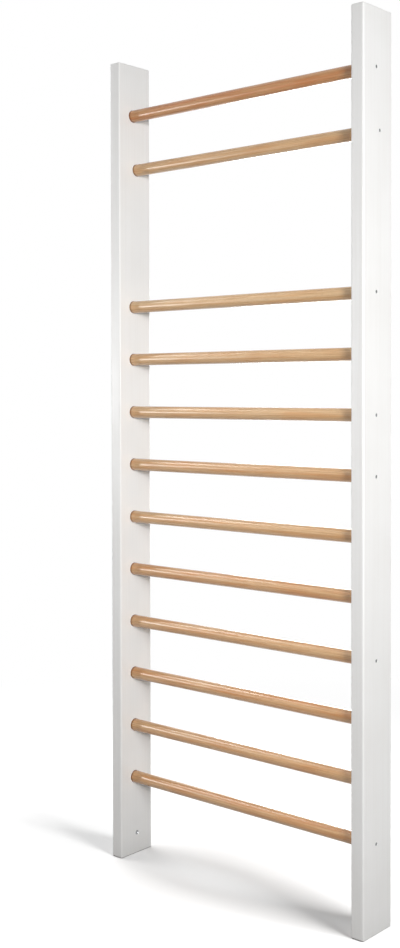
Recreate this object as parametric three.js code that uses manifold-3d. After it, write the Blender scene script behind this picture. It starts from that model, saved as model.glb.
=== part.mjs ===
// Swedish wall bars: two upright boards carry a ladder of round rungs that sit in blind sockets.
// Millimetres, +Z up, +Y towards the wall, origin on the floor midway between the boards.
import * as THREE from 'three';
import { mergeVertices } from 'three/addons/utils/BufferGeometryUtils.js';
import Module from 'manifold-3d';

// Upright boards
const POST_HEIGHT = 2300;
const POST_THICKNESS = 38;
const POST_DEPTH = 126;
const CLEAR_WIDTH = 800; // between the boards' inner faces
const ARRIS_RADIUS = 5; // rounding of the four long edges
const END_RADIUS = 4; // rounding of the edges at the head and the foot

// Rungs, counted from the top: a hanging pair, a wide reach gap, then the climbing ladder
const RUNG_DIAMETER = 34;
const RUNG_CHAMFER = 1.5; // at both ends, to enter the sockets
const TOP_MARGIN = 147; // from the top of the boards to the first rung's axis
const HANGING_PITCH = 154; // between the two hanging rungs
const REACH_GAP = 399; // from the lower hanging rung to the first climbing rung
const CLIMBING_RUNGS = 10; // evenly spaced from the reach gap down to the lowest rung
const LOWEST_RUNG_HEIGHT = 227.5;
const RUNG_FORWARD = 5; // rung axes in front of the boards' mid-depth
const LOWER_HANGING_BACK = 10; // the lower hanging rung's axis behind the mid-depth

// Blind sockets that hold the rung ends
const SOCKET_FLOOR = 16; // wood left between the socket and the board's outer face
const SOCKET_CLEARANCE = 0.3; // round the rung and at its end
const SOCKET_MOUTH = 1.6; // chamfer round the mouth, which shows as a thin dark ring about the rung

// Countersunk wood screws, driven through the boards' outer faces into these rungs' ends
const SCREWED_RUNGS = [1, 2, 3, 5, 6, 9, 12];
const SCREW_LENGTH = 60;
const SCREW_SHANK_DIAMETER = 5;
const SCREW_HEAD_DIAMETER = 8.6;
const SCREW_HEAD_LAND = 0.6; // straight rim of the head above its cone
const SCREW_POINT = 7;
const SCREW_RECESS = 1.8; // the head lies this far below the board's face
const SCREW_CLEARANCE = 0.3;

// Threaded inserts low down in the inner faces, for the fixing brackets
const INSERT_HEIGHT = 60;
const INSERT_BACK = 2; // behind the boards' mid-depth
const INSERT_DIAMETER = 12;
const INSERT_BORE = 7;
const INSERT_LENGTH = 18;
const INSERT_MOUTH = 1; // chamfer at the mouth of the bore
const INSERT_CLEARANCE = 0.3;

// Facets
const RUNG_SIDES = 24;
const SCREW_SIDES = 12;
const INSERT_SIDES = 16;
const CORNER_STEPS = 4; // per rounded corner
const OVERRUN = 2; // how far a cutter starts outside the wood
const MERGE_DISTANCE = 1e-4; // points closer than this are one point

const lacqueredWhite = new THREE.MeshStandardMaterial({ color: 0xf1f1ef, roughness: 0.45, metalness: 0 });
const turnedBeech = new THREE.MeshStandardMaterial({ color: 0xd8b48c, roughness: 0.5, metalness: 0 });
const zincedSteel = new THREE.MeshStandardMaterial({ color: 0x9a9c9e, roughness: 0.35, metalness: 1 });

const wasm = await Module();
wasm.setup();

// A closed geometry as a solid that can be cut.
function toSolid(geometry) {
  const bare = geometry.clone();
  bare.deleteAttribute('normal');
  bare.deleteAttribute('uv');
  const merged = mergeVertices(bare, MERGE_DISTANCE);
  return new wasm.Manifold(new wasm.Mesh({
    numProp: 3,
    vertProperties: new Float32Array(merged.attributes.position.array),
    triVerts: new Uint32Array(merged.index.array),
  }));
}

// A cut solid as a geometry with flat facets.
function toGeometry(solid) {
  const mesh = solid.getMesh();
  const indexed = new THREE.BufferGeometry();
  indexed.setAttribute('position', new THREE.BufferAttribute(new Float32Array(mesh.vertProperties), 3));
  indexed.setIndex(new THREE.BufferAttribute(new Uint32Array(mesh.triVerts), 1));
  const faceted = indexed.toNonIndexed();
  faceted.computeVertexNormals();
  return faceted;
}

// A turned shape: points are [radius, distance along the axis]. Its axis is Y until turnToX lays it along X.
function turned(points, sides) {
  return new THREE.LatheGeometry(points.map(([radius, y]) => new THREE.Vector2(radius, y)), sides);
}

// Lays a turned shape along X, with its +Y end pointing to the given side, -1 for left and +1 for right.
function turnToX(geometry, side) {
  return geometry.rotateZ(-side * Math.PI / 2);
}

// A bar with a rounded rectangle for its section, centred on the origin and extruded along Z.
function roundedBar(width, height, radius, length) {
  const x = width / 2;
  const y = height / 2;
  const outline = new THREE.Shape();
  outline.absarc(x - radius, y - radius, radius, 0, Math.PI / 2);
  outline.absarc(radius - x, y - radius, radius, Math.PI / 2, Math.PI);
  outline.absarc(radius - x, radius - y, radius, Math.PI, 1.5 * Math.PI);
  outline.absarc(x - radius, radius - y, radius, 1.5 * Math.PI, 2 * Math.PI);
  const bar = new THREE.ExtrudeGeometry(outline, {
    depth: length,
    bevelEnabled: false,
    curveSegments: CORNER_STEPS,
  });
  return bar.translate(0, 0, -length / 2);
}

// The board itself: a bar with rounded long edges. A bar along X and one along Y trim it to round its ends.
function board() {
  const upright = toSolid(roundedBar(POST_THICKNESS, POST_DEPTH, ARRIS_RADIUS, POST_HEIGHT));
  const sideTrim = roundedBar(POST_HEIGHT, POST_DEPTH, END_RADIUS, POST_THICKNESS + 2 * OVERRUN);
  const frontTrim = roundedBar(POST_THICKNESS, POST_HEIGHT, END_RADIUS, POST_DEPTH + 2 * OVERRUN);
  const eased = upright
    .intersect(toSolid(sideTrim.rotateY(Math.PI / 2)))
    .intersect(toSolid(frontTrim.rotateX(Math.PI / 2)));
  return eased.translate([0, 0, POST_HEIGHT / 2]);
}

// The screw's turned profile from its point to its head, whose top lies at y = 0, grown by a clearance.
function screwProfile(grow, top) {
  const shank = SCREW_SHANK_DIAMETER / 2 + grow;
  const head = SCREW_HEAD_DIAMETER / 2 + grow;
  const coneTop = -SCREW_HEAD_LAND;
  const coneFoot = coneTop - (head - shank);
  return [
    [0, -SCREW_LENGTH - grow],
    [shank, SCREW_POINT - SCREW_LENGTH - grow],
    [shank, coneFoot],
    [head, coneTop],
    [head, top],
    [0, top],
  ];
}

function screwGeometry() {
  return turned(screwProfile(0, 0), SCREW_SIDES);
}

// What the screw needs cleared for it: its own shape with room, open to the board's outer face.
function screwCutter() {
  return turned(screwProfile(SCREW_CLEARANCE, SCREW_RECESS + OVERRUN), SCREW_SIDES);
}

// A rung: a plain cylinder with chamfered ends, drilled at both ends where it is screwed.
const socketDepth = POST_THICKNESS - SOCKET_FLOOR;
const rungLength = CLEAR_WIDTH + 2 * (socketDepth - SOCKET_CLEARANCE);
const pilotDepth = SCREW_RECESS + SCREW_LENGTH + SCREW_CLEARANCE - SOCKET_FLOOR - SOCKET_CLEARANCE;

function rungGeometry(isScrewed) {
  const radius = RUNG_DIAMETER / 2;
  const pilotRadius = SCREW_SHANK_DIAMETER / 2 + SCREW_CLEARANCE;
  const end = rungLength / 2;
  const rim = [[radius - RUNG_CHAMFER, end], [radius, end - RUNG_CHAMFER]];
  const centre = isScrewed
    ? [[0, end - pilotDepth], [pilotRadius, end - pilotDepth], [pilotRadius, end]]
    : [[0, end]];
  const upperHalf = [...centre, ...rim];
  const lowerHalf = upperHalf.map(([r, y]) => [r, -y]);
  return turned([...lowerHalf, ...upperHalf.reverse()], RUNG_SIDES);
}

// The hole for a rung end, from the socket's floor at y = 0 out through the inner face. Its mouth is a cone.
function socketCutter() {
  const radius = RUNG_DIAMETER / 2 + SOCKET_CLEARANCE;
  const outside = -socketDepth - OVERRUN;
  return turned([
    [0, outside],
    [radius + SOCKET_MOUTH + OVERRUN, outside],
    [radius, SOCKET_MOUTH - socketDepth],
    [radius, 0],
    [0, 0],
  ], RUNG_SIDES);
}

// A threaded insert: a sleeve with a chamfered mouth, whose mouth lies at y = 0.
function insertGeometry() {
  const outer = INSERT_DIAMETER / 2;
  const bore = INSERT_BORE / 2;
  return turned([
    [bore, -INSERT_LENGTH],
    [outer, -INSERT_LENGTH],
    [outer, 0],
    [bore + INSERT_MOUTH, 0],
    [bore, -INSERT_MOUTH],
    [bore, -INSERT_LENGTH],
  ], INSERT_SIDES);
}

function insertCutter() {
  const radius = INSERT_DIAMETER / 2 + INSERT_CLEARANCE;
  const length = INSERT_LENGTH + INSERT_CLEARANCE + OVERRUN;
  const hole = new THREE.CylinderGeometry(radius, radius, length, INSERT_SIDES);
  return hole.translate(0, OVERRUN - length / 2, 0);
}

// Where each rung's axis runs, from the top down.
function rungAxes() {
  const top = POST_HEIGHT - TOP_MARGIN;
  const lowerHanging = top - HANGING_PITCH;
  const firstClimbing = lowerHanging - REACH_GAP;
  const climbingPitch = (firstClimbing - LOWEST_RUNG_HEIGHT) / (CLIMBING_RUNGS - 1);
  const axes = [
    { z: top, y: -RUNG_FORWARD },
    { z: lowerHanging, y: LOWER_HANGING_BACK },
  ];
  for (let step = 0; step < CLIMBING_RUNGS; step += 1) {
    axes.push({ z: firstClimbing - step * climbingPitch, y: -RUNG_FORWARD });
  }
  return axes.map((axis, index) => ({
    ...axis,
    label: String(index + 1).padStart(2, '0'),
    isScrewed: SCREWED_RUNGS.includes(index + 1),
  }));
}

const rungs = rungAxes();
const screwedRungs = rungs.filter((rung) => rung.isScrewed);
const group = new THREE.Group();

function addMesh(parent, name, geometry, material) {
  const mesh = new THREE.Mesh(geometry, material);
  mesh.name = name;
  parent.add(mesh);
  return mesh;
}

// One side of the ladder: its board with every seat cut into it, its screws and its insert.
function addSide(name, side) {
  const assembly = new THREE.Group();
  assembly.position.x = side * (CLEAR_WIDTH + POST_THICKNESS) / 2;
  group.add(assembly);

  const outerFace = side * POST_THICKNESS / 2;
  const socketFloor = outerFace - side * SOCKET_FLOOR;
  const screwTop = outerFace - side * SCREW_RECESS;
  const innerFace = -outerFace;

  const cuts = [];
  for (const { y, z } of rungs) {
    cuts.push(turnToX(socketCutter(), side).translate(socketFloor, y, z));
  }
  for (const { y, z } of screwedRungs) {
    cuts.push(turnToX(screwCutter(), side).translate(screwTop, y, z));
  }
  cuts.push(turnToX(insertCutter(), -side).translate(innerFace, INSERT_BACK, INSERT_HEIGHT));
  const cutBoard = cuts.reduce((solid, cutter) => solid.subtract(toSolid(cutter)), board());
  addMesh(assembly, `${name}_post`, toGeometry(cutBoard), lacqueredWhite);

  for (const { y, z, label } of screwedRungs) {
    const screw = addMesh(assembly, `${name}_screw_${label}`, screwGeometry(), zincedSteel);
    screw.position.set(screwTop, y, z);
    screw.rotation.z = -side * Math.PI / 2;
  }

  const insert = addMesh(assembly, `${name}_insert`, insertGeometry(), zincedSteel);
  insert.position.set(innerFace, INSERT_BACK, INSERT_HEIGHT);
  insert.rotation.z = side * Math.PI / 2;
}

addSide('left', -1);
addSide('right', 1);
for (const { y, z, label, isScrewed } of rungs) {
  const rung = addMesh(group, `rung_${label}`, rungGeometry(isScrewed), turnedBeech);
  rung.position.set(0, y, z);
  rung.rotation.z = -Math.PI / 2;
}

export default group;
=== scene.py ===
# Swedish wall bars: white lacquered boards, turned beech rungs, sunk screws and threaded inserts.
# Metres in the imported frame: +Z up, +Y towards the wall, origin on the floor midway between the boards.
import math
import random

import bmesh
import bpy
from mathutils import Matrix, Vector


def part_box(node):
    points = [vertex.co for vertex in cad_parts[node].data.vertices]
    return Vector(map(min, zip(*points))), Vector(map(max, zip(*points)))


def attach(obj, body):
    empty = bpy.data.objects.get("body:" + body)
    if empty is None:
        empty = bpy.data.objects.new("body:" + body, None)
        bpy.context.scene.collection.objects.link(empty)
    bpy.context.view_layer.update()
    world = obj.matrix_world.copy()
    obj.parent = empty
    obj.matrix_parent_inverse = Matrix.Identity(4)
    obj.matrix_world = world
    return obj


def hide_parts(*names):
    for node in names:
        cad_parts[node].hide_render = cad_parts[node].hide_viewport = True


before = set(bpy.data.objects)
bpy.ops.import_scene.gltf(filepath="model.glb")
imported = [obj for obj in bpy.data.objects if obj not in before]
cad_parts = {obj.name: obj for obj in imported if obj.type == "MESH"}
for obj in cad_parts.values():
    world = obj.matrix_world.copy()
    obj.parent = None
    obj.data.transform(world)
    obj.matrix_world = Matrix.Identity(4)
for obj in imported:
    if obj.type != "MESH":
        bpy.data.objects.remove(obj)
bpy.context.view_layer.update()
scene = bpy.context.scene
scene.view_settings.view_transform = "Standard"
mm = 0.001
rightAngle = math.pi / 2
fullWhite = 1  # strength at which a plain light looks white to the camera
colourResult = 2  # which output of a Mix node is the colour
numberResult = 1  # and of a Random Value node the plain number
rungNodes = sorted(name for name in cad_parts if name.startswith("rung_"))
sides = {"left": -1, "right": 1}


# sRGB hex to the linear colour that shaders take
def linear(hexColour):
    channels = [int(hexColour[at:at + 2], 16) / 255 for at in (1, 3, 5)]
    return tuple(c / 12.92 if c <= 0.04045 else ((c + 0.055) / 1.055) ** 2.4 for c in channels) + (1,)


# adds a node: a value is one of its settings, a constant for an input, or the outputs that feed an input
def addNode(tree, kind, values=None):
    node = tree.nodes.new(kind)
    for key, value in (values or {}).items():
        if isinstance(key, str) and hasattr(node, key):
            setattr(node, key, value)
            continue
        socket = next(s for n, s in enumerate(node.inputs) if key in (n, s.identifier, s.name))
        feeds = value if isinstance(value, list) else [value]
        if isinstance(feeds[0], bpy.types.NodeSocket):
            for feed in feeds:
                tree.links.new(feed, socket)
        else:
            socket.default_value = value
    return node


def newMaterial(name):
    material = bpy.data.materials.new(name)
    material.use_nodes = True
    material.node_tree.nodes.clear()
    return material, material.node_tree


def centreOf(node):
    low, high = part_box(node)
    return (low + high) / 2


def newPiece(name, mesh):
    piece = bpy.data.objects.new(name, mesh)
    scene.collection.objects.link(piece)
    return piece


# turns what a piece's modifiers make of it into a plain mesh
def settle(piece):
    bpy.context.view_layer.update()
    graph = bpy.context.evaluated_depsgraph_get()
    mesh = bpy.data.meshes.new_from_object(
        piece.evaluated_get(graph), preserve_all_data_layers=True, depsgraph=graph)
    piece.modifiers.clear()
    rough = piece.data
    piece.data = mesh
    bpy.data.meshes.remove(rough)
    mesh.name = piece.name


# smooth over rounded stretches, with a crease at every real edge
def shade(piece, creaseDegrees=30):
    piece.data.shade_smooth()
    piece.data.set_sharp_from_angle(angle=math.radians(creaseDegrees))


def handOver(piece, slotName, *nodes):
    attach(piece, "root")
    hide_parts(*nodes)


# a Geometry Nodes tree with named inputs, a geometry input first if it grows on points
def newTree(name, inputs, takesPoints=False):
    tree = bpy.data.node_groups.new(name, "GeometryNodeTree")
    if takesPoints:
        tree.interface.new_socket("Points", in_out="INPUT", socket_type="NodeSocketGeometry")
    for label, kind in inputs.items():
        tree.interface.new_socket(label, in_out="INPUT", socket_type="NodeSocket" + kind)
    tree.interface.new_socket("Geometry", in_out="OUTPUT", socket_type="NodeSocketGeometry")
    return tree, addNode(tree, "NodeGroupInput").outputs


def endTree(tree, geometry, material):
    realized = addNode(tree, "GeometryNodeRealizeInstances", {"Geometry": geometry})
    dressed = addNode(
        tree, "GeometryNodeSetMaterial", {"Geometry": realized.outputs[0], "Material": material})
    addNode(tree, "NodeGroupOutput", {"Geometry": dressed.outputs[0]})


def growTree(piece, tree, values):
    modifier = piece.modifiers.new(tree.name, "NODES")
    modifier.node_group = tree
    for item in tree.interface.items_tree:
        if item.in_out == "INPUT" and item.name in values:
            modifier[item.identifier] = values[item.name]
    settle(piece)
    piece.data.materials.clear()  # drops the empty slot that the tree's points leave
    piece.data.materials.append(values["Material"])


# Camera, at the photograph's viewpoint: nearly level with a shifted lens, so that uprights stay upright
cameraView = {
    "place": (2.1391, -2.5934, 1.3549),
    "yaw": 41.158,
    "pitch": -1.04,
    "roll": -0.118,
    "lens": 47.144,
    "shift": (-0.006, -0.0634),
}


def setCamera():
    data = bpy.data.cameras.new("photoView")
    data.lens = cameraView["lens"]
    data.shift_x, data.shift_y = cameraView["shift"]
    camera = bpy.data.objects.new("photoView", data)
    turn = (
        Matrix.Rotation(math.radians(cameraView["yaw"]), 4, "Z")
        @ Matrix.Rotation(rightAngle + math.radians(cameraView["pitch"]), 4, "X")
        @ Matrix.Rotation(math.radians(cameraView["roll"]), 4, "Z")
    )
    camera.matrix_world = Matrix.Translation(cameraView["place"]) @ turn
    scene.collection.objects.link(camera)
    scene.camera = camera


setCamera()
print("camera set")


# Satin white lacquer sprayed on planed timber: one soft even sheen, a faint orange peel, and the grain of
# the wood just showing through along the board. A plain white, greyer near the floor, with a painted shadow
# along the foot's edge. Each band says where a pattern starts and ends, and what share it gives there.
lacquerLook = {
    "colour": "#f3f3f2",
    "thinCoat": "#ebeae8",  # where the coat is thin and the wood warms it
    "scuffed": "#dad9d7",
    "bareEdge": "#6a655f",  # painted shadow along the foot's edge, where the board meets the floor
    "grainWidth": 4 * mm,
    "grainLength": 320 * mm,
    "peelSize": 2.5 * mm,  # real orange peel is nearer 1 mm
    "cloudSize": 180 * mm,
    "grainDetail": 3,
    "grainWaver": 0.4,
    "peelDetail": 1,
    "cloudDetail": 4,
    "grainBand": (0.45, 0.8, 0, 0.5),
    "cloudBand": (0.35, 0.75, 0, 0.5),
    "scuffBand": (0, 60 * mm, 0.6, 0),  # by height
    "bareBand": (1.2 * mm, 3.2 * mm, 1, 0),  # painted foot shadow, by height
    "sheenBand": (0.3, 0.7, 0.33, 0.42),  # gives the roughness
    "grainDepth": 0.03 * mm,
    "peelDepth": 0.015 * mm,
    "ior": 1.5,
}


def sprayedLacquer():
    look = lacquerLook
    material, tree = newMaterial("satinLacquerSprayedOnTimber")
    place = addNode(tree, "ShaderNodeTexCoord").outputs["Object"]
    height = addNode(tree, "ShaderNodeSeparateXYZ", {"Vector": place}).outputs["Z"]
    across = 1 / look["grainWidth"]
    drawn = addNode(
        tree, "ShaderNodeMapping", {"Vector": place, "Scale": (across, across, 1 / look["grainLength"])})
    grain = addNode(
        tree, "ShaderNodeTexNoise",
        {"Vector": drawn.outputs[0], "Scale": 1, "Detail": look["grainDetail"],
         "Distortion": look["grainWaver"]}).outputs["Fac"]
    peel = addNode(
        tree, "ShaderNodeTexNoise",
        {"Vector": place, "Scale": 1 / look["peelSize"], "Detail": look["peelDetail"]})
    cloud = addNode(
        tree, "ShaderNodeTexNoise",
        {"Vector": place, "Scale": 1 / look["cloudSize"], "Detail": look["cloudDetail"]}).outputs["Fac"]

    patterns = {"grain": grain, "cloud": cloud, "scuff": height, "bare": height, "sheen": cloud}
    shares = {}
    for name, pattern in patterns.items():
        start, end, first, last = look[name + "Band"]
        share = addNode(
            tree, "ShaderNodeMapRange",
            {"Value": pattern, "From Min": start, "From Max": end, "To Min": first, "To Max": last})
        shares[name] = share.outputs[0]
    thin = addNode(
        tree, "ShaderNodeMath",
        {"operation": "ADD", "use_clamp": True, 0: shares["grain"], 1: shares["cloud"]})
    scuff = addNode(tree, "ShaderNodeMath", {"operation": "MULTIPLY", 0: shares["scuff"], 1: cloud})

    colour = linear(look["colour"])
    # the last layer paints a dark shadow along the foot's edge, where the board meets the floor
    layers = {"thinCoat": thin.outputs[0], "scuffed": scuff.outputs[0], "bareEdge": shares["bare"]}
    for name, share in layers.items():
        layer = addNode(
            tree, "ShaderNodeMix",
            {"data_type": "RGBA", "Factor_Float": share, "A_Color": colour, "B_Color": linear(look[name])})
        colour = layer.outputs[colourResult]

    grainBump = addNode(tree, "ShaderNodeBump", {"Height": grain, "Distance": look["grainDepth"]})
    bump = addNode(
        tree, "ShaderNodeBump",
        {"Height": peel.outputs["Fac"], "Distance": look["peelDepth"], "Normal": grainBump.outputs[0]})
    shader = addNode(
        tree, "ShaderNodeBsdfPrincipled",
        {"Base Color": colour, "Roughness": shares["sheen"], "Normal": bump.outputs[0], "IOR": look["ior"]})
    addNode(tree, "ShaderNodeOutputMaterial", {"Surface": shader.outputs[0]})
    return material


# Beech turned and sanded, under clear satin lacquer: pale pinkish tan, soft growth rings that run out along
# the rung, warmer streaks, long fibres and short dark ray flecks, a broad sheen and a narrower highlight.
# A size is a width and a length along the rung. A band is as in the white lacquer.
beechLook = {
    "pale": "#e0bd8e",
    "ring": "#ca9d66",  # late wood of each year's ring
    "heart": "#d0924c",  # warmer streaks of heartwood
    "fibre": "#b68651",
    "fleck": "#966a42",
    "steamed": "#ecc89c",  # what a full tone of 1 filters the wood with
    "joint": "#b39f8a",  # painted shade where each rung goes into a board
    "jointWidth": 7 * mm,
    "ringSpacing": 4.5 * mm,
    "ringWander": 9 * mm,  # how far the rings drift along a rung
    "wanderSize": (420 * mm, 420 * mm),
    "heartSize": (11 * mm, 150 * mm),
    "fibreSize": (2 * mm, 90 * mm),  # real fibres are finer than a millimetre
    "fleckSize": (0.7 * mm, 6 * mm),
    "noiseDetail": {"wander": 2, "heart": 2, "fibre": 3, "fleck": 1},
    "ringDetail": 1,
    "ringWaver": 0.6,
    "ringBand": (0.2, 1, 0, 0.7),
    "heartBand": (0.42, 0.66, 0, 0.7),
    "streaks": (0.6, 2),  # how strong the heart is at a tone of 0 and of 1
    "fibreBand": (0.46, 0.8, 0, 0.8),
    "fleckBand": (0.64, 0.74, 0, 0.5),
    "sheenBand": (0.3, 0.7, 0.4, 0.52),  # gives the roughness
    "fibreDepth": 0.02 * mm,
    "woodShine": 0.45,  # broad sheen of the sealed wood, under the lacquer's sharper one
    "coatWeight": 1,
    "coatRoughness": 0.26,
    "ior": 1.5,
}


def turnedBeech():
    look = beechLook
    material, tree = newMaterial("turnedBeechClearLacquer")
    place = addNode(tree, "ShaderNodeTexCoord").outputs["Object"]
    noises = {}
    for name, detail in look["noiseDetail"].items():
        width, length = look[name + "Size"]
        drawn = addNode(
            tree, "ShaderNodeMapping", {"Vector": place, "Scale": (1 / length, 1 / width, 1 / width)})
        noises[name] = addNode(
            tree, "ShaderNodeTexNoise", {"Vector": drawn.outputs[0], "Scale": 1, "Detail": detail}).outputs

    # growth rings about a pith line beside the rung, which drifts slowly along it
    pith = addNode(tree, "ShaderNodeAttribute", {"attribute_name": "pith"}).outputs["Vector"]
    drift = addNode(
        tree, "ShaderNodeVectorMath",
        {"operation": "SCALE", 0: noises["wander"]["Color"], "Scale": look["ringWander"]})
    fromPith = addNode(tree, "ShaderNodeVectorMath", {"operation": "SUBTRACT", 0: place, 1: pith})
    ringPlace = addNode(
        tree, "ShaderNodeVectorMath", {"operation": "ADD", 0: fromPith.outputs[0], 1: drift.outputs[0]})
    rings = addNode(
        tree, "ShaderNodeTexWave",
        {"wave_type": "RINGS", "rings_direction": "X", "wave_profile": "SAW", "Vector": ringPlace.outputs[0],
         "Scale": math.tau / 20 / look["ringSpacing"],  # this texture repeats every tau / 20
         "Distortion": look["ringWaver"], "Detail": look["ringDetail"]})

    fibres = noises["fibre"]["Fac"]
    patterns = {"ring": rings.outputs["Fac"], "heart": noises["heart"]["Fac"], "fibre": fibres,
                "fleck": noises["fleck"]["Fac"], "sheen": fibres}
    shares = {}
    for name, pattern in patterns.items():
        start, end, first, last = look[name + "Band"]
        share = addNode(
            tree, "ShaderNodeMapRange",
            {"Value": pattern, "From Min": start, "From Max": end, "To Min": first, "To Max": last})
        shares[name] = share.outputs[0]
    tone = addNode(tree, "ShaderNodeAttribute", {"attribute_name": "tone"}).outputs["Fac"]
    streaks = addNode(
        tree, "ShaderNodeMapRange",
        {"Value": tone, "To Min": look["streaks"][0], "To Max": look["streaks"][1]})
    heart = addNode(
        tree, "ShaderNodeMath", {"operation": "MULTIPLY", 0: shares["heart"], 1: streaks.outputs[0]})
    # painted shade: each rung darkens within a few millimetres of the boards' faces
    sideways = addNode(tree, "ShaderNodeSeparateXYZ", {"Vector": place}).outputs["X"]
    fromMiddle = addNode(tree, "ShaderNodeMath", {"operation": "ABSOLUTE", 0: sideways})
    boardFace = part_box("right_post")[0].x
    joint = addNode(
        tree, "ShaderNodeMapRange",
        {"Value": fromMiddle.outputs[0], "From Min": boardFace - look["jointWidth"], "From Max": boardFace})

    colour = linear(look["pale"])
    layers = [("ring", shares["ring"], "MIX"), ("heart", heart.outputs[0], "MIX"),
              ("fibre", shares["fibre"], "MIX"), ("fleck", shares["fleck"], "MIX"),
              ("steamed", tone, "MULTIPLY"), ("joint", joint.outputs[0], "MULTIPLY")]
    for name, share, blend in layers:
        layer = addNode(
            tree, "ShaderNodeMix",
            {"data_type": "RGBA", "blend_type": blend, "Factor_Float": share, "A_Color": colour,
             "B_Color": linear(look[name])})
        colour = layer.outputs[colourResult]

    bump = addNode(tree, "ShaderNodeBump", {"Height": fibres, "Distance": look["fibreDepth"]})
    shader = addNode(
        tree, "ShaderNodeBsdfPrincipled",
        {"Base Color": colour, "Roughness": shares["sheen"], "Normal": bump.outputs[0], "IOR": look["ior"],
         "Specular IOR Level": look["woodShine"], "Coat Weight": look["coatWeight"],
         "Coat Roughness": look["coatRoughness"]})
    addNode(tree, "ShaderNodeOutputMaterial", {"Surface": shader.outputs[0]})
    return material


# Zinc plated steel: a thin plated skin on turned steel, dull grey with a fine spangle.
zincLook = {
    "screw": {"colour": "#a8a9ac", "stain": "#7d7e81", "sheenBand": (0.3, 0.7, 0.35, 0.5)},
    "insert": {"colour": "#b4b6b8", "stain": "#85878a", "sheenBand": (0.3, 0.7, 0.25, 0.4)},
    "spangleSize": 0.8 * mm,
    "spangleDetail": 3,
    "skinDepth": 0.01 * mm,
}


def zincPlate(kind):
    look = zincLook[kind]
    material, tree = newMaterial(kind + "ZincPlatedSteel")
    place = addNode(tree, "ShaderNodeTexCoord").outputs["Object"]
    spangle = addNode(
        tree, "ShaderNodeTexNoise",
        {"Vector": place, "Scale": 1 / zincLook["spangleSize"],
         "Detail": zincLook["spangleDetail"]}).outputs["Fac"]
    colour = addNode(
        tree, "ShaderNodeMix",
        {"data_type": "RGBA", "Factor_Float": spangle, "A_Color": linear(look["colour"]),
         "B_Color": linear(look["stain"])})
    start, end, first, last = look["sheenBand"]
    dullness = addNode(
        tree, "ShaderNodeMapRange",
        {"Value": spangle, "From Min": start, "From Max": end, "To Min": first, "To Max": last})
    bump = addNode(tree, "ShaderNodeBump", {"Height": spangle, "Distance": zincLook["skinDepth"]})
    shader = addNode(
        tree, "ShaderNodeBsdfPrincipled",
        {"Base Color": colour.outputs[colourResult], "Metallic": 1, "Roughness": dullness.outputs[0],
         "Normal": bump.outputs[0]})
    addNode(tree, "ShaderNodeOutputMaterial", {"Surface": shader.outputs[0]})
    return material


lacquer = sprayedLacquer()
beech = turnedBeech()
screwSteel = zincPlate("screw")
insertSteel = zincPlate("insert")
print("materials made")


# A turned shape in a bmesh: points are (distance along X, radius). A profile that starts and ends on the
# axis is closed by its poles, and any other closes on itself.
def addTurned(work, profile, count, place, side):
    rings = []
    for x, radius in profile:
        angles = [0] if radius == 0 else [math.tau * k / count for k in range(count)]
        rings.append([
            work.verts.new(Vector(place) + Vector((side * x, radius * math.cos(a), radius * math.sin(a))))
            for a in angles])
    pairs = list(zip(rings, rings[1:]))
    if profile[0][1] > 0:
        pairs.append((rings[-1], rings[0]))
    for inner, outer in pairs:
        for k in range(count):
            corners = [inner[k % len(inner)], inner[(k + 1) % len(inner)],
                       outer[(k + 1) % len(outer)], outer[k % len(outer)]]
            work.faces.new(list(dict.fromkeys(corners)))


def meshOf(work, name):
    bmesh.ops.recalc_face_normals(work, faces=work.faces)
    mesh = bpy.data.meshes.new(name)
    work.to_mesh(mesh)
    work.free()
    return mesh


# Boards: rounded bars with a blind socket for every rung, a countersunk seat for every screw and a hole
# for an insert
boardSizes = {
    "arrisRadius": 5 * mm,  # the long edges
    "endRadius": 4 * mm,  # round the head and the foot
    "arcSteps": 8,
    "strip": 0.8 * mm,  # flat strip beside each rounding, so that broad faces shade flat
    "clearance": 0.3 * mm,
    "socketFloor": 16 * mm,
    "socketMouth": 1.6 * mm,  # chamfer round each rung, a thin dark ring
    "rimEase": 0.6 * mm,  # sanded edge of the other holes
    "overrun": 2 * mm,
    "socketCount": 64,
    "seatCount": 32,
}


# the board's outline at one height, drawn in by an inset
def boardOutline(halfWidth, halfDepth, inset):
    sizes = boardSizes
    corner = sizes["arrisRadius"]
    radius = corner - inset
    points = []
    for quarter, (signX, signY) in enumerate([(1, 1), (-1, 1), (-1, -1), (1, -1)]):
        middle = Vector((signX * (halfWidth - corner), signY * (halfDepth - corner)))
        angles = [rightAngle * (quarter + step / sizes["arcSteps"]) for step in range(sizes["arcSteps"] + 1)]
        arc = [middle + radius * Vector((math.cos(a), math.sin(a))) for a in angles]
        before = Vector((-math.sin(angles[0]), math.cos(angles[0])))
        after = Vector((-math.sin(angles[-1]), math.cos(angles[-1])))
        points += [arc[0] - sizes["strip"] * before, *arc, arc[-1] + sizes["strip"] * after]
    return points


# heights and insets from the foot to the head, with a level between neighbouring rungs
def boardLevels(height):
    sizes = boardSizes
    radius = sizes["endRadius"]
    foot = [(0, radius + sizes["strip"])]
    for step in range(sizes["arcSteps"] + 1):
        angle = rightAngle * step / sizes["arcSteps"]
        foot.append((radius * (1 - math.cos(angle)), radius * (1 - math.sin(angle))))
    foot.append((radius + sizes["strip"], 0))
    rungHeights = sorted(centreOf(name).z for name in rungNodes)
    between = [((low + high) / 2, 0) for low, high in zip(rungHeights, rungHeights[1:])]
    return foot + between + [(height - z, inset) for z, inset in reversed(foot)]


def carve(piece, work):
    cutter = newPiece("cutter", meshOf(work, "cutter"))
    cut = piece.modifiers.new("carve", "BOOLEAN")
    cut.operation = "DIFFERENCE"
    cut.solver = "EXACT"
    cut.object = cutter
    settle(piece)
    bpy.data.meshes.remove(cutter.data)


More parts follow.
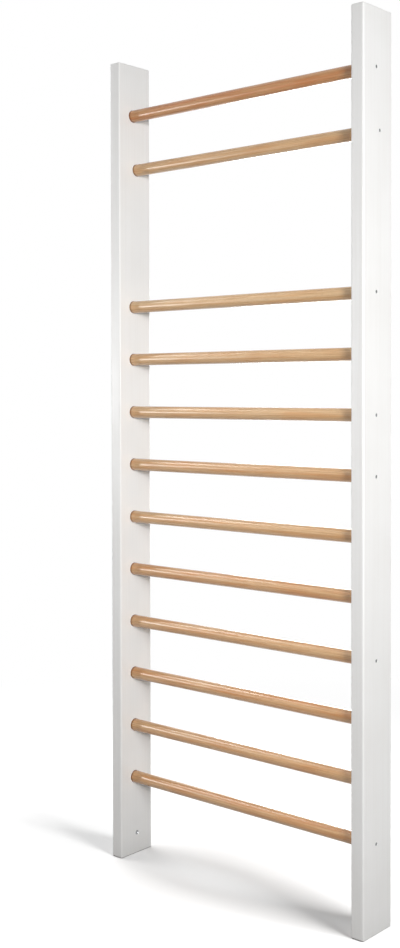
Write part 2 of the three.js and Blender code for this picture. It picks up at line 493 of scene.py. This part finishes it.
def makeBoard(name, side):
    sizes = boardSizes
    low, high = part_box(name + "_post")
    middle = (low + high) / 2
    half = (high - low) / 2
    work = bmesh.new()
    rings = []
    for z, inset in boardLevels(high.z):
        outline = boardOutline(half.x, half.y, inset)
        rings.append([work.verts.new((middle.x + p.x, middle.y + p.y, z)) for p in outline])
    for lower, upper in zip(rings, rings[1:]):
        for k in range(len(lower)):
            after = (k + 1) % len(lower)
            work.faces.new((lower[k], lower[after], upper[after], upper[k]))
    work.faces.new(reversed(rings[0]))
    work.faces.new(rings[-1])
    board = newPiece(name + "Post", meshOf(work, name + "Post"))

    outerFace = middle.x + side * half.x
    innerFace = middle.x - side * half.x
    ease = sizes["rimEase"]
    overrun = sizes["overrun"]

    # profiles run from a hole's floor out through the face
    def hole(depth, radius, mouth):
        return [(0, 0), (0, radius), (depth - mouth, radius), (depth, radius + mouth),
                (depth + overrun, radius + mouth), (depth + overrun, 0)]

    sockets = bmesh.new()
    socketDepth = 2 * half.x - sizes["socketFloor"]
    for rung in rungNodes:
        rungLow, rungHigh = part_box(rung)
        radius = (rungHigh.z - rungLow.z) / 2 + sizes["clearance"]
        at = centreOf(rung)
        at.x = innerFace + side * socketDepth
        addTurned(sockets, hole(socketDepth, radius, sizes["socketMouth"]), sizes["socketCount"], at, -side)
    insertLow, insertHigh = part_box(name + "_insert")
    insertDepth = insertHigh.x - insertLow.x + sizes["clearance"]
    at = centreOf(name + "_insert")
    at.x = innerFace + side * insertDepth
    radius = (insertHigh.z - insertLow.z) / 2 + sizes["clearance"]
    addTurned(sockets, hole(insertDepth, radius, ease), sizes["socketCount"], at, -side)
    carve(board, sockets)

    seats = bmesh.new()
    for screw in screwNodes(name):
        profile = screwProfile(sizes["clearance"])
        headTop = screwTop(screw, side)
        recess = side * (outerFace - headTop.x)
        rim = profile[-2][1]
        profile[-2:] = [(recess - ease, rim), (recess, rim + ease), (recess + overrun, rim + ease),
                        (recess + overrun, 0)]
        addTurned(seats, profile, sizes["seatCount"], headTop, side)
    carve(board, seats)
    board.data.materials.append(lacquer)
    shade(board)
    handOver(board, "post_lacquer", name + "_post")


# Countersunk wood screws through the boards' outer faces
screwSizes = {
    "length": 60 * mm,
    "shank": 5 * mm,
    "head": 8.6 * mm,
    "land": 0.6 * mm,  # straight rim of the head above its cone
    "point": 7 * mm,
    "tip": 0.3 * mm,
    "driveLength": 4.6 * mm,  # cross recess, across its blades
    "driveWidth": 1.1 * mm,
    "driveDepth": 2.6 * mm,
    "driveTaper": 0.55,
    "bladeSides": 4,
    "count": 32,
    "seed": 7,
}
screwStations = ["Tip", "Shank", "Neck", "Cone", "Face"]  # where a screw's outline turns


def screwNodes(name):
    return sorted(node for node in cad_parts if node.startswith(name + "_screw_"))


def screwTop(screw, side):
    low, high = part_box(screw)
    top = (low + high) / 2
    top.x = high.x if side > 0 else low.x
    return top


# from the point to the head, whose top lies at 0, grown by a clearance
def screwProfile(grow):
    shank = screwSizes["shank"] / 2 + grow
    head = screwSizes["head"] / 2 + grow
    coneTop = -screwSizes["land"]
    return [
        (-screwSizes["length"] - grow, 0),
        (screwSizes["point"] - screwSizes["length"] - grow, shank),
        (coneTop - (head - shank), shank),
        (coneTop, head),
        (0, head),
        (0, 0),
    ]


def screwTree():
    measures = ["Height", "Radius"]
    inputs = {f"{station} {measure}": "Float" for station in screwStations for measure in measures}
    tree, given = newTree("countersunkScrews", inputs | {
        "Count": "Int", "Drive Radius": "Float", "Drive Foot": "Float", "Drive Depth": "Float",
        "Drive Slimness": "Float", "Lean": "Float", "Seed": "Int", "Material": "Material"}, takesPoints=True)

    # a line whose points stand at the stations, thickened to the radius of each
    index = addNode(tree, "GeometryNodeInputIndex").outputs[0]
    outline = {}
    for measure in measures:
        pick = addNode(tree, "GeometryNodeIndexSwitch", {"data_type": "FLOAT", "Index": index})
        while len(pick.index_switch_items) < len(screwStations):
            pick.index_switch_items.new()
        for number, station in enumerate(screwStations):
            tree.links.new(given[f"{station} {measure}"], pick.inputs[number + 1])
        outline[measure] = pick.outputs[0]
    line = addNode(tree, "GeometryNodeMeshLine", {"Count": len(screwStations), "Offset": (0, 0, 0)})
    rise = addNode(tree, "ShaderNodeCombineXYZ", {"Z": outline["Height"]})
    axis = addNode(
        tree, "GeometryNodeSetPosition", {"Geometry": line.outputs[0], "Position": rise.outputs[0]})
    spine = addNode(tree, "GeometryNodeMeshToCurve", {"Mesh": axis.outputs[0]})
    circle = addNode(tree, "GeometryNodeCurvePrimitiveCircle", {"Radius": 1, "Resolution": given["Count"]})
    turned = addNode(
        tree, "GeometryNodeCurveToMesh",
        {"Curve": spine.outputs[0], "Profile Curve": circle.outputs[0], "Scale": outline["Radius"],
         "Fill Caps": True})

    # cross drive: two tapered blades cut down into the head
    blade = addNode(
        tree, "GeometryNodeMeshCone",
        {"Vertices": screwSizes["bladeSides"], "Radius Bottom": given["Drive Radius"],
         "Radius Top": given["Drive Foot"], "Depth": given["Drive Depth"]})
    squared = addNode(
        tree, "GeometryNodeTransform",
        {"Geometry": blade.outputs[0], "Rotation": (math.pi, 0, rightAngle / 2)})
    slim = addNode(tree, "ShaderNodeCombineXYZ", {"X": 1, "Y": given["Drive Slimness"], "Z": 1})
    narrow = addNode(
        tree, "GeometryNodeTransform", {"Geometry": squared.outputs[0], "Scale": slim.outputs[0]})
    crossed = addNode(
        tree, "GeometryNodeTransform", {"Geometry": narrow.outputs[0], "Rotation": (0, 0, rightAngle)})
    driven = addNode(
        tree, "GeometryNodeMeshBoolean",
        {"operation": "DIFFERENCE", "solver": "EXACT", "Self Intersection": True,
         "Mesh 1": turned.outputs[0], "Mesh 2": [narrow.outputs[0], crossed.outputs[0]]})

    # head outwards, each screw stopped at its own angle
    lean = addNode(tree, "ShaderNodeCombineXYZ", {"Y": given["Lean"]})
    laid = addNode(
        tree, "GeometryNodeTransform", {"Geometry": driven.outputs[0], "Rotation": lean.outputs[0]})
    angle = addNode(
        tree, "FunctionNodeRandomValue",
        {"data_type": "FLOAT", "Min_001": 0, "Max_001": rightAngle, "Seed": given["Seed"]})
    spin = addNode(tree, "ShaderNodeCombineXYZ", {"X": angle.outputs[numberResult]})
    placed = addNode(
        tree, "GeometryNodeInstanceOnPoints",
        {"Points": given["Points"], "Instance": laid.outputs[0], "Rotation": spin.outputs[0]})
    endTree(tree, placed.outputs[0], given["Material"])
    return tree


def makeScrews(name, side, tree):
    sizes = screwSizes
    nodes = screwNodes(name)
    points = bpy.data.meshes.new("points")
    points.from_pydata([screwTop(screw, side) for screw in nodes], [], [])
    screws = newPiece(name + "Screws", points)
    driveRadius = sizes["driveLength"] / math.sqrt(2)  # to the corners of a blade
    values = {
        "Count": sizes["count"], "Drive Radius": driveRadius, "Drive Foot": driveRadius * sizes["driveTaper"],
        "Drive Depth": sizes["driveDepth"], "Drive Slimness": sizes["driveWidth"] / sizes["driveLength"],
        "Lean": side * rightAngle, "Seed": sizes["seed"], "Material": screwSteel}
    for station, (height, radius) in zip(screwStations, screwProfile(0)):
        values[station + " Height"] = float(height)
        values[station + " Radius"] = radius or sizes["tip"]
    growTree(screws, tree, values)
    shade(screws)
    handOver(screws, "zinced_steel", *nodes)


for name, side in sides.items():
    makeBoard(name, side)
print("boards made")
screws = screwTree()
for name, side in sides.items():
    makeScrews(name, side, screws)
print("screws made")


# Rungs: turned beech with eased ends, drilled at both ends where screws hold them
rungSizes = {
    "chamfer": 1.5 * mm,
    "count": 64,
    "bays": 42,  # along the rung
    "pilotDiameter": 5.6 * mm,
    "pilotDepth": 45.8 * mm,
    "pithDistance": (20 * mm, 55 * mm),
    # from the top down, 1 is the deepest
    "tones": [0.84, 0.13, 0.02, 0.12, 0.12, 0.3, 0.21, 0.41, 0.31, 0.43, 0.34, 0.4],
    "seed": 12,
}


def rungTree():
    tree, given = newTree("turnedRung", {
        "Radius": "Float", "Straight": "Float", "Chamfer": "Float", "End Share": "Float", "Centre": "Vector",
        "Count": "Int", "Bays": "Int", "Screwed": "Bool", "Pilot Share": "Float", "Pilot Sink": "Float",
        "Tone": "Float", "Pith": "Vector", "Material": "Material"})
    bar = addNode(
        tree, "GeometryNodeMeshCylinder",
        {"Vertices": given["Count"], "Side Segments": given["Bays"], "Radius": given["Radius"],
         "Depth": given["Straight"]})
    ends = addNode(
        tree, "FunctionNodeBooleanMath",
        {"operation": "OR", 0: bar.outputs["Top"], 1: bar.outputs["Bottom"]})
    grown = addNode(
        tree, "GeometryNodeExtrudeMesh",
        {"Mesh": bar.outputs["Mesh"], "Selection": ends.outputs[0], "Offset Scale": given["Chamfer"],
         "Individual": False})
    eased = addNode(
        tree, "GeometryNodeScaleElements",
        {"Geometry": grown.outputs["Mesh"], "Selection": grown.outputs["Top"], "Scale": given["End Share"]})

    # pilot holes: each end face drawn in to the hole's size, then sunk
    drawn = addNode(
        tree, "GeometryNodeExtrudeMesh",
        {"Mesh": eased.outputs[0], "Selection": grown.outputs["Top"], "Offset Scale": 0, "Individual": False})
    mouth = addNode(
        tree, "GeometryNodeScaleElements",
        {"Geometry": drawn.outputs["Mesh"], "Selection": drawn.outputs["Top"], "Scale": given["Pilot Share"]})
    drilled = addNode(
        tree, "GeometryNodeExtrudeMesh",
        {"Mesh": mouth.outputs[0], "Selection": drawn.outputs["Top"], "Offset Scale": given["Pilot Sink"],
         "Individual": False})
    turned = addNode(
        tree, "GeometryNodeSwitch",
        {"input_type": "GEOMETRY", "Switch": given["Screwed"], "False": eased.outputs[0],
         "True": drilled.outputs["Mesh"]})

    toned = addNode(
        tree, "GeometryNodeStoreNamedAttribute",
        {"data_type": "FLOAT", "Name": "tone", "Geometry": turned.outputs[0], "Value": given["Tone"]})
    pithed = addNode(
        tree, "GeometryNodeStoreNamedAttribute",
        {"data_type": "FLOAT_VECTOR", "Name": "pith", "Geometry": toned.outputs[0], "Value": given["Pith"]})
    placed = addNode(
        tree, "GeometryNodeTransform",
        {"Geometry": pithed.outputs[0], "Translation": given["Centre"], "Rotation": (0, rightAngle, 0)})
    endTree(tree, placed.outputs[0], given["Material"])
    return tree


def makeRungs():
    sizes = rungSizes
    tree = rungTree()
    draw = random.Random(sizes["seed"])
    for name, tone in zip(rungNodes, sizes["tones"]):
        low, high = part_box(name)
        centre = (low + high) / 2
        radius = (high.z - low.z) / 2
        endRadius = radius - sizes["chamfer"]
        bearing = draw.uniform(0, math.tau)
        distance = draw.uniform(*sizes["pithDistance"])
        rung = newPiece(name.replace("_", ""), bpy.data.meshes.new("blank"))
        growTree(rung, tree, {
            "Radius": radius, "Straight": high.x - low.x - 2 * sizes["chamfer"], "Chamfer": sizes["chamfer"],
            "End Share": endRadius / radius, "Centre": centre, "Count": sizes["count"], "Bays": sizes["bays"],
            "Screwed": name.replace("rung", "left_screw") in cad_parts,
            "Pilot Share": sizes["pilotDiameter"] / 2 / endRadius, "Pilot Sink": -sizes["pilotDepth"],
            "Tone": float(tone),
            "Pith": centre + distance * Vector((0, math.cos(bearing), math.sin(bearing))),
            "Material": beech})
        shade(rung)
        handOver(rung, "rung_beech", name)


makeRungs()
print("rungs made")


# Threaded inserts low down in the inner faces
insertSizes = {
    "bore": 7 * mm,
    "mouth": 1 * mm,  # chamfer that leads a bolt in
    "threadPitch": 1.25 * mm,
    "threadDepth": 0.5 * mm,
    "rimEase": 0.3 * mm,
    "count": 48,
}


def makeInsert(name, side):
    sizes = insertSizes
    low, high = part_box(name + "_insert")
    length = high.x - low.x
    outer = (high.z - low.z) / 2
    bore = sizes["bore"] / 2
    # the face is at 0 and the sleeve runs into the wood
    profile = [(-length, bore), (-length, outer), (-sizes["rimEase"], outer), (0, outer - sizes["rimEase"]),
               (0, bore + sizes["mouth"]), (-sizes["mouth"], bore)]
    turns = int((length - sizes["mouth"]) / sizes["threadPitch"]) - 1  # the far end stays plain
    for turn in range(turns):
        at = -sizes["mouth"] - (turn + 0.5) * sizes["threadPitch"]
        profile += [(at, bore + sizes["threadDepth"]), (at - sizes["threadPitch"] / 2, bore)]
    face = centreOf(name + "_insert")
    face.x = low.x if side > 0 else high.x
    work = bmesh.new()
    addTurned(work, profile, sizes["count"], face, -side)
    insert = newPiece(name + "Insert", meshOf(work, name + "Insert"))
    insert.data.materials.append(insertSteel)
    shade(insert)
    handOver(insert, "zinced_steel", name + "_insert")


for name, side in sides.items():
    makeInsert(name, side)
print("inserts made")


# Floor: matt and pale, so that it takes the ladder's shadow, and it fades to plain white further off.
# Only camera, glossy and transmission rays see that. Light that bounces off it meets a warm dark grey.
floorLook = {
    "reach": 30,
    "colour": "#dedede",
    "bounceColour": "#403c38",
    "whiteFrom": 1.1,  # metres from the middle of the ladder
    "whiteTo": 2.6,
}


def seenDirectly(tree):
    path = addNode(tree, "ShaderNodeLightPath").outputs
    shiny = addNode(
        tree, "ShaderNodeMath",
        {"operation": "MAXIMUM", 0: path["Is Glossy Ray"], 1: path["Is Transmission Ray"]})
    return addNode(
        tree, "ShaderNodeMath",
        {"operation": "MAXIMUM", 0: path["Is Camera Ray"], 1: shiny.outputs[0]}).outputs[0]


def makeFloor():
    look = floorLook
    material, tree = newMaterial("mattPaleFloor")
    place = addNode(tree, "ShaderNodeTexCoord").outputs["Object"]
    distance = addNode(tree, "ShaderNodeVectorMath", {"operation": "LENGTH", 0: place}).outputs["Value"]
    share = addNode(
        tree, "ShaderNodeMapRange",
        {"interpolation_type": "SMOOTHSTEP", "Value": distance, "From Min": look["whiteFrom"],
         "From Max": look["whiteTo"]})
    shadowed = addNode(tree, "ShaderNodeBsdfDiffuse", {"Color": linear(look["colour"])})
    glow = addNode(tree, "ShaderNodeEmission", {"Strength": fullWhite})
    seen = addNode(
        tree, "ShaderNodeMixShader", {0: share.outputs[0], 1: shadowed.outputs[0], 2: glow.outputs[0]})
    bounce = addNode(tree, "ShaderNodeBsdfDiffuse", {"Color": linear(look["bounceColour"])})
    both = addNode(
        tree, "ShaderNodeMixShader", {0: seenDirectly(tree), 1: bounce.outputs[0], 2: seen.outputs[0]})
    addNode(tree, "ShaderNodeOutputMaterial", {"Surface": both.outputs[0]})
    work = bmesh.new()
    bmesh.ops.create_grid(work, x_segments=1, y_segments=1, size=look["reach"])
    floor = newPiece("floor", meshOf(work, "floor"))
    floor.data.materials.append(material)
    return floor


# Soft studio light. Five softboxes light the ladder, one of them its back. The floor has two of its own:
# one beyond the right board lays the shadow along the ladder's line, and one beyond the left board fades it.
ladderLamps = {
    "keySoftbox": {"place": (4.2, -1.3, 1.9), "aim": (0, 0, 1.4), "size": 0.9, "spread": 180, "power": 44},
    "frontSoftbox": {"place": (3.6, -2.5, 1.8), "aim": (0, 0, 1.4), "size": 0.9, "spread": 80, "power": 28},
    "leftSoftbox": {
        "place": (-2.55, -2.17, 1.37), "aim": (-0.42, 0, 1.37), "size": 0.45, "spread": 180, "power": 22},
    "highSoftbox": {"place": (-2.2, -0.5, 2.7), "aim": (0.1, 0, 0.9), "size": 1, "spread": 60, "power": 4.7},
    "backSoftbox": {"place": (-1.3, 2.6, 1.2), "aim": (0, 0, 1.2), "size": 1.4, "spread": 180, "power": 64},
}
floorLamps = {
    "shadowSoftbox": {"place": (5, 0, 3), "aim": (0, 0, 0), "size": 3, "spread": 180, "power": 690},
    "fadeSoftbox": {"place": (-2.3, 0, 2.6), "aim": (-1.2, 0, 0), "size": 2.6, "spread": 180, "power": 105},
}
surroundings = 0.175  # strength of the plain light from all round


# what a lamp lights: a collection that takes the floor in or leaves it out
def floorLink(name, floor, state):
    collection = bpy.data.collections.new(name)
    collection.objects.link(floor)
    collection.collection_objects[0].light_linking.link_state = state
    return collection


def makeLights(floor):
    aims = [(ladderLamps, floorLink("notFloor", floor, "EXCLUDE")),
            (floorLamps, floorLink("onlyFloor", floor, "INCLUDE"))]
    for lamps, receivers in aims:
        for name, lamp in lamps.items():
            data = bpy.data.lights.new(name, "AREA")
            data.size = lamp["size"]
            data.energy = lamp["power"]
            data.spread = math.radians(lamp["spread"])
            light = bpy.data.objects.new(name, data)
            light.location = lamp["place"]
            toward = Vector(lamp["aim"]) - Vector(lamp["place"])
            light.rotation_euler = toward.to_track_quat("-Z", "Y").to_euler()
            light.visible_camera = False
            light.light_linking.receiver_collection = receivers
            scene.collection.objects.link(light)

    world = bpy.data.worlds.new("paleStudio")
    world.use_nodes = True
    tree = world.node_tree
    tree.nodes.clear()
    soft, white = [
        addNode(tree, "ShaderNodeBackground", {"Color": linear("#ffffff"), "Strength": strength})
        for strength in (surroundings, fullWhite)]
    both = addNode(
        tree, "ShaderNodeMixShader", {0: seenDirectly(tree), 1: soft.outputs[0], 2: white.outputs[0]})
    addNode(tree, "ShaderNodeOutputWorld", {"Surface": both.outputs[0]})
    scene.world = world


makeLights(makeFloor())
print("floor and lights made")
